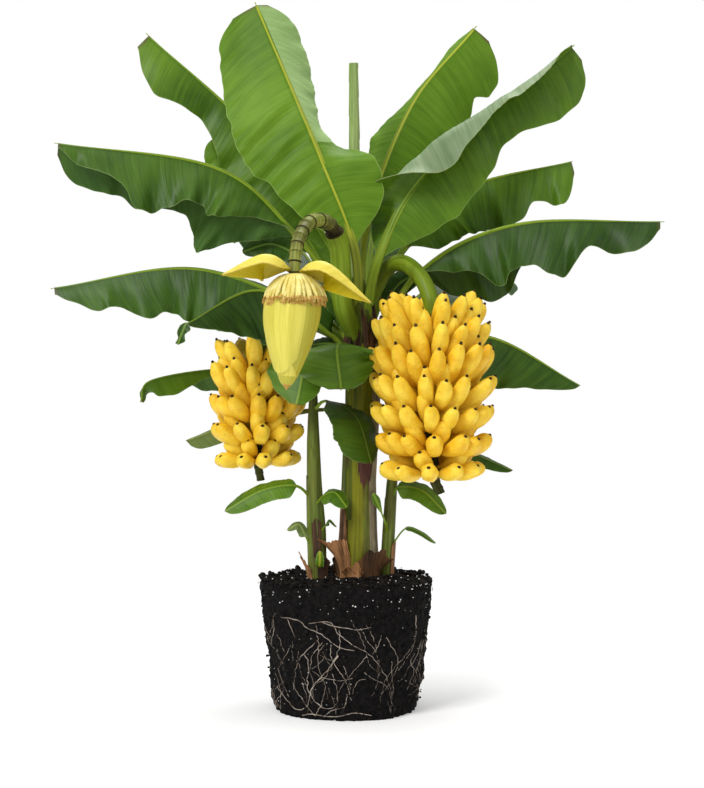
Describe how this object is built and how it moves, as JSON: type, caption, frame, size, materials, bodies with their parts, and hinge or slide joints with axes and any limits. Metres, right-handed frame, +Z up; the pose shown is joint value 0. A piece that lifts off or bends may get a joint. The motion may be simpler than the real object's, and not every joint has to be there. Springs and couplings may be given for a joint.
{
  "type": "hardy banana plant",
  "caption": "Young fruiting banana plant standing on its own root ball: broad arching leaves, hanging bunches of yellow fruit, a drooping flower bud and small side shoots.",
  "frame": {"origin": "centre of the root ball's flat underside, on the ground", "axes": "+Z up along the main stem, -Y towards the front of the plant where the flower bud hangs, +X to the viewer's right, towards the larger bunch of fruit"},
  "size_m": [1.0914, 0.7457, 1.2667],
  "materials": {
    "peat": "rough",
    "sheath": "satin",
    "leaf": "satin",
    "young_leaf": "satin",
    "stalk": "satin",
    "fruit": "satin",
    "bract": "satin",
    "florets": "matte",
    "dry_sheath": "matte"
  },
  "bodies": {
    "root": {"root_ball": "peat", "main_stem": "sheath", "left_sucker": "sheath", "right_sucker": "sheath", "rolled_leaf": "young_leaf", "leaf_top": "young_leaf", "leaf_top_left": "leaf", "leaf_left_upper": "leaf", "leaf_left_middle": "leaf", "leaf_left_lower": "leaf", "leaf_top_right": "leaf", "leaf_right_high": "leaf", "leaf_right_mid": "leaf", "leaf_right_long": "leaf", "leaf_right_low": "leaf", "leaf_back_left": "leaf", "leaf_back": "leaf", "leaf_back_right": "leaf", "leaf_front_centre": "leaf", "leaf_behind_flower": "leaf", "leaf_left_low": "leaf", "leaf_left_pale": "young_leaf", "leaf_front_low": "leaf", "sucker_leaf_left_1": "leaf", "sucker_leaf_left_2": "leaf", "sucker_leaf_left_3": "leaf", "sucker_leaf_left_4": "leaf", "sucker_leaf_left_5": "young_leaf", "sucker_leaf_right_1": "leaf", "sucker_leaf_right_2": "leaf", "sucker_leaf_right_3": "leaf", "sucker_leaf_right_4": "leaf", "dry_sheath_front": "dry_sheath", "dry_sheath_right": "dry_sheath", "dry_sheath_back": "dry_sheath", "dry_sheath_left": "dry_sheath", "right_fruit_stalk": "stalk", "right_fruit_axis": "stalk", "right_hand_1": "fruit", "right_hand_2": "fruit", "right_hand_3": "fruit", "right_hand_4": "fruit", "right_hand_5": "fruit", "right_hand_6": "fruit", "right_hand_7": "fruit", "left_fruit_stalk": "stalk", "left_fruit_axis": "stalk", "left_hand_1": "fruit", "left_hand_2": "fruit", "left_hand_3": "fruit", "left_hand_4": "fruit", "left_hand_5": "fruit", "flower_stalk_rise": "stalk", "flower_stalk_drop": "stalk", "flower_bud": "bract", "flower_florets": "florets", "bract_left": "bract", "bract_right": "bract"}
  },
  "joints": []
}
